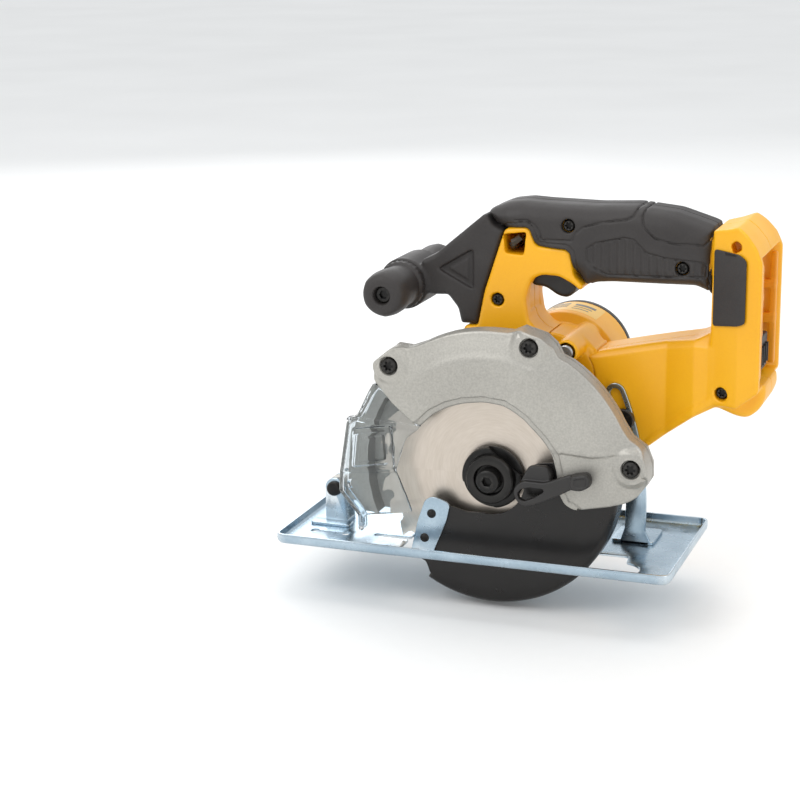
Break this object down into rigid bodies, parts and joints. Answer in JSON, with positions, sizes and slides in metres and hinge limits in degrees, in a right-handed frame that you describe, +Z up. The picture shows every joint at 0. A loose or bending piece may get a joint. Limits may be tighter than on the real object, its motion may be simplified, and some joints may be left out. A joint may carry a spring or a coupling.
{
  "type": "circular saw",
  "caption": "Cordless metal-cutting circular saw: D-handle with trigger, front grip bar, cast upper guard with chip window, sprung lower guard, blade and tilting shoe.",
  "frame": {"origin": "on the underside of the shoe, straight below the spindle axis, 45 mm to the motor side of the blade's plane", "axes": "+X from the front of the shoe back to the battery foot, +Y from the blade side to the motor side, +Z up; -Z is the outward normal of the sole"},
  "size_m": [0.2754, 0.1339, 0.2284],
  "materials": {
    "blade_steel": "brushed, ground rings",
    "zinc_plate": "bluish zinc plate, satin",
    "black_steel": "black oxide, satin",
    "bright_steel": "ground",
    "cast_grey": "die casting, speckled grey paint",
    "guard_black": "satin black coat",
    "yellow_nylon": "moulded, satin",
    "black_rubber": "soft overmould, fine grain",
    "black_plastic": "moulded, fine grain",
    "clear_window": "clear, polished",
    "copper": "turned",
    "spring_steel": "oiled",
    "carbon": "pressed carbon",
    "gear_steel": "machined"
  },
  "bodies": {
    "saw_body": {"pivot_pin": "black_steel", "guard_screw_front": "black_steel", "guard_screw_top": "black_steel", "guard_screw_rear": "black_steel", "handle_screw_leg": "black_steel", "handle_screw_grip": "black_steel", "handle_screw_rear": "black_steel", "handle_screw_foot": "black_steel", "front_grip_bolt": "black_steel", "depth_bolt": "black_steel", "spindle_bearing": "bright_steel", "motor_bearing_front": "bright_steel", "gear_case": "cast_grey", "bearing_plate": "cast_grey", "upper_guard_cover": "cast_grey", "upper_guard_back": "cast_grey", "motor_housing": "yellow_nylon", "handle_shell_near": "yellow_nylon", "handle_shell_far": "yellow_nylon", "grip_sleeve_near": "black_rubber", "grip_sleeve_far": "black_rubber", "rear_pad_near": "black_rubber", "rear_pad_far": "black_rubber", "motor_end_cap": "black_plastic", "switch_module": "black_plastic", "terminal_block": "black_plastic", "front_arm": "black_plastic", "front_grip_near": "black_plastic", "front_grip_far": "black_plastic", "chip_window": "clear_window", "guard_retaining_ring": "spring_steel", "guard_spring": "spring_steel", "brush_upper": "carbon", "brush_lower": "carbon", "field_can": "gear_steel"},
    "arbor": {"blade": "blade_steel", "inner_flange": "black_steel", "outer_flange": "black_steel", "blade_bolt": "black_steel", "spindle": "gear_steel", "spindle_gear": "gear_steel"},
    "idler": {"idler_shaft": "gear_steel", "idler_gear": "gear_steel"},
    "rotor": {"motor_shaft": "gear_steel", "armature_core": "gear_steel", "commutator": "copper", "motor_fan": "black_plastic"},
    "lower_guard_set": {"lower_guard": "guard_black", "guard_lever": "black_plastic", "guard_edge_strip": "zinc_plate", "strip_rivet_upper": "black_steel", "strip_rivet_lower": "black_steel"},
    "shoe": {"shoe_plate": "zinc_plate", "shoe_front_bracket": "zinc_plate", "shoe_rear_bracket": "zinc_plate"},
    "depth_lever_arm": {"depth_lever": "black_plastic"},
    "trigger_arm": {"trigger": "black_plastic"},
    "lock_off": {"lock_off_button": "black_plastic"},
    "spindle_lock": {"spindle_lock_button": "bright_steel"},
    "key": {"hex_key": "bright_steel"}
  },
  "joints": [
    {"name": "blade_spin", "type": "hinge", "parent": "saw_body", "child": "arbor", "pos_m": [0, -0.045, 0.045], "axis": [0, 1, 0], "continuous": true},
    {"name": "idler_spin", "type": "hinge", "parent": "saw_body", "child": "idler", "pos_m": [0.01134, -0.02, 0.0706], "axis": [0, 1, 0], "continuous": true},
    {"name": "motor_spin", "type": "hinge", "parent": "saw_body", "child": "rotor", "pos_m": [0.02228, 0.015, 0.09528], "axis": [0, 1, 0], "continuous": true},
    {"name": "guard_retract", "type": "hinge", "parent": "saw_body", "child": "lower_guard_set", "pos_m": [0, -0.045, 0.045], "axis": [0, -1, 0], "range_deg": [0, 105], "stiffness_Nm_per_rad": 0.15, "springref_deg": -57.3},
    {"name": "depth_adjust", "type": "hinge", "parent": "saw_body", "child": "shoe", "pos_m": [-0.105, -0.025, 0.023], "axis": [0, -1, 0], "range_deg": [-4.9, 8]},
    {"name": "depth_lever_swing", "type": "hinge", "parent": "saw_body", "child": "depth_lever_arm", "pos_m": [0.06761, 0.021, 0.07577], "axis": [0, 1, 0], "range_deg": [0, 45]},
    {"name": "trigger_squeeze", "type": "hinge", "parent": "saw_body", "child": "trigger_arm", "pos_m": [0.0145, -0.003, 0.1535], "axis": [0, -1, 0], "range_deg": [0, 8], "stiffness_Nm_per_rad": 0.6, "springref_deg": -17.19},
    {"name": "lock_off_press", "type": "slide", "parent": "saw_body", "child": "lock_off", "axis": [0, -1, 0], "range_m": [0, 0.003], "stiffness_N_per_m": 300, "springref_m": -0.003},
    {"name": "spindle_lock_press", "type": "slide", "parent": "saw_body", "child": "spindle_lock", "axis": [0, 1, 0], "range_m": [0, 0.004], "stiffness_N_per_m": 300, "springref_m": -0.003},
    {"name": "hex_key_slide", "type": "slide", "parent": "saw_body", "child": "key", "axis": [0, -1, 0], "range_m": [0, 0.03]}
  ],
  "couplings": [
    {"joint": "idler_spin", "follows": "blade_spin", "ratio": -2.5},
    {"joint": "motor_spin", "follows": "blade_spin", "ratio": 5.9375}
  ]
}
